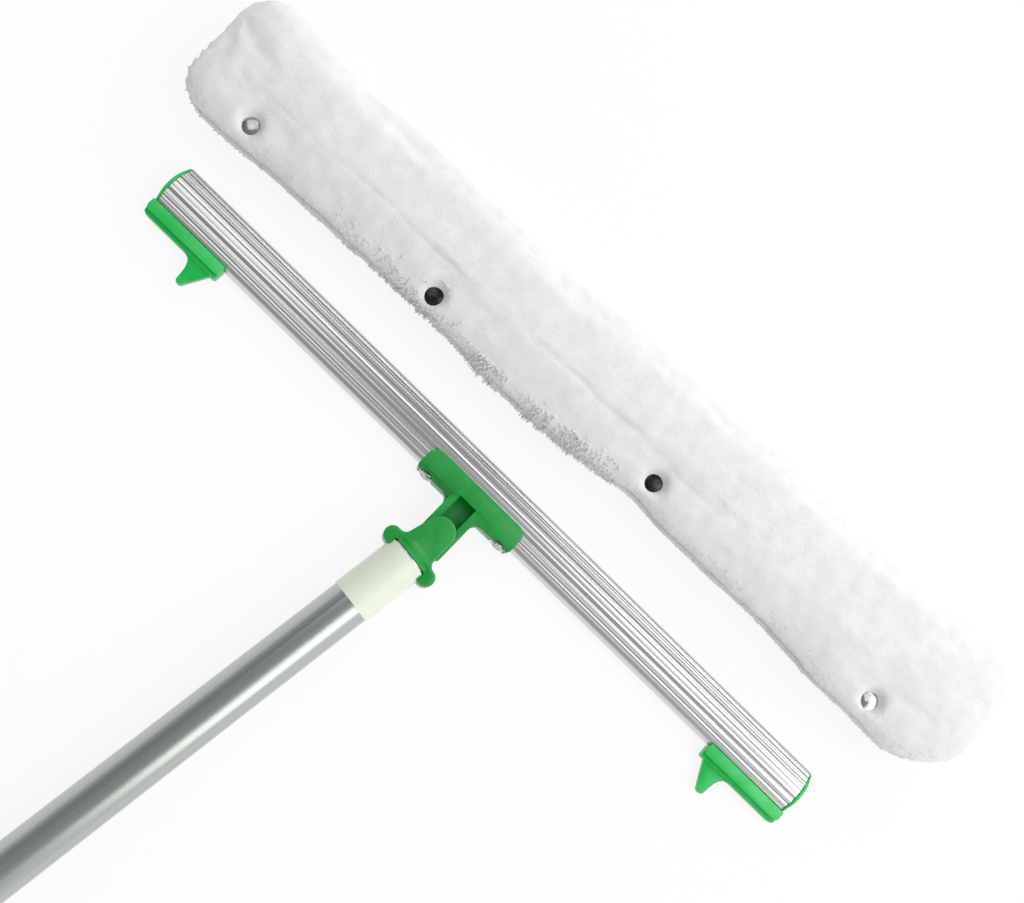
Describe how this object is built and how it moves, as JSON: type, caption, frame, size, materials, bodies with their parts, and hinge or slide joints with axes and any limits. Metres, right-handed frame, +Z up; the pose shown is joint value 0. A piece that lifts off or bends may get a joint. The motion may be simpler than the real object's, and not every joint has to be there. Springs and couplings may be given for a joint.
{
  "type": "floor wax applicator",
  "caption": "Wide T-bar floor wax applicator: arched aluminium bar on a swivelling bracket and long pole, with its snap-closed fleece sleeve lying beside it.",
  "frame": {"origin": "middle of the bar's flat underside, on the surface that the part lies on", "axes": "+X along the bar, -Y towards the handle, +Y towards the sleeve, +Z up"},
  "size_m": [0.4787, 1.6214, 0.028],
  "materials": {
    "bar_aluminium": "extruded and brushed lengthwise",
    "pole_metal": "drawn, satin anodised",
    "green_plastic": "moulded nylon, satin gloss",
    "screw_steel": "zinc plated",
    "label": "bare cream film",
    "fleece": "white pile",
    "snap_metal": "nickel plated"
  },
  "bodies": {
    "bar": {"bar_extrusion": "bar_aluminium", "end_cap_left": "green_plastic", "end_cap_right": "green_plastic", "tbar_bracket": "green_plastic", "bracket_screw_left": "screw_steel", "bracket_screw_right": "screw_steel", "nut_plate": "screw_steel"},
    "socket": {"pole_socket": "green_plastic", "swivel_pin": "screw_steel"},
    "pole": {"pole_tube": "pole_metal", "label_band": "label", "pole_end_cap": "green_plastic"},
    "sleeve_lower": {"sleeve_lower_layer": "fleece", "sleeve_fold": "fleece", "snap_stud_1": "snap_metal", "snap_stud_2": "snap_metal", "snap_stud_3": "snap_metal", "snap_stud_4": "snap_metal", "snap_rivet_1": "snap_metal", "snap_rivet_2": "snap_metal", "snap_rivet_3": "snap_metal", "snap_rivet_4": "snap_metal"},
    "sleeve_upper": {"sleeve_upper_layer": "fleece", "snap_cap_1": "snap_metal", "snap_cap_2": "snap_metal", "snap_cap_3": "snap_metal", "snap_cap_4": "snap_metal", "snap_socket_1": "snap_metal", "snap_socket_2": "snap_metal", "snap_socket_3": "snap_metal", "snap_socket_4": "snap_metal"}
  },
  "joints": [
    {"name": "head_swivel", "type": "hinge", "parent": "bar", "child": "socket", "pos_m": [-0.0011, -0.0302, 0], "axis": [0, 0, 1], "range_deg": [-12, 28]},
    {"name": "pole_pull", "type": "slide", "parent": "socket", "child": "pole", "axis": [-0.1392, -0.9903, 0], "range_m": [0, 0.048]},
    {"name": "sleeve_lift", "type": "slide", "parent": "bar", "child": "sleeve_lower", "axis": [0, 0, 1], "range_m": [0, 0.15]},
    {"name": "sleeve_open", "type": "hinge", "parent": "sleeve_lower", "child": "sleeve_upper", "pos_m": [0.0023, 0.1091, 0.0164], "axis": [-0.9995, -0.0332, 0], "range_deg": [0, 150]}
  ]
}
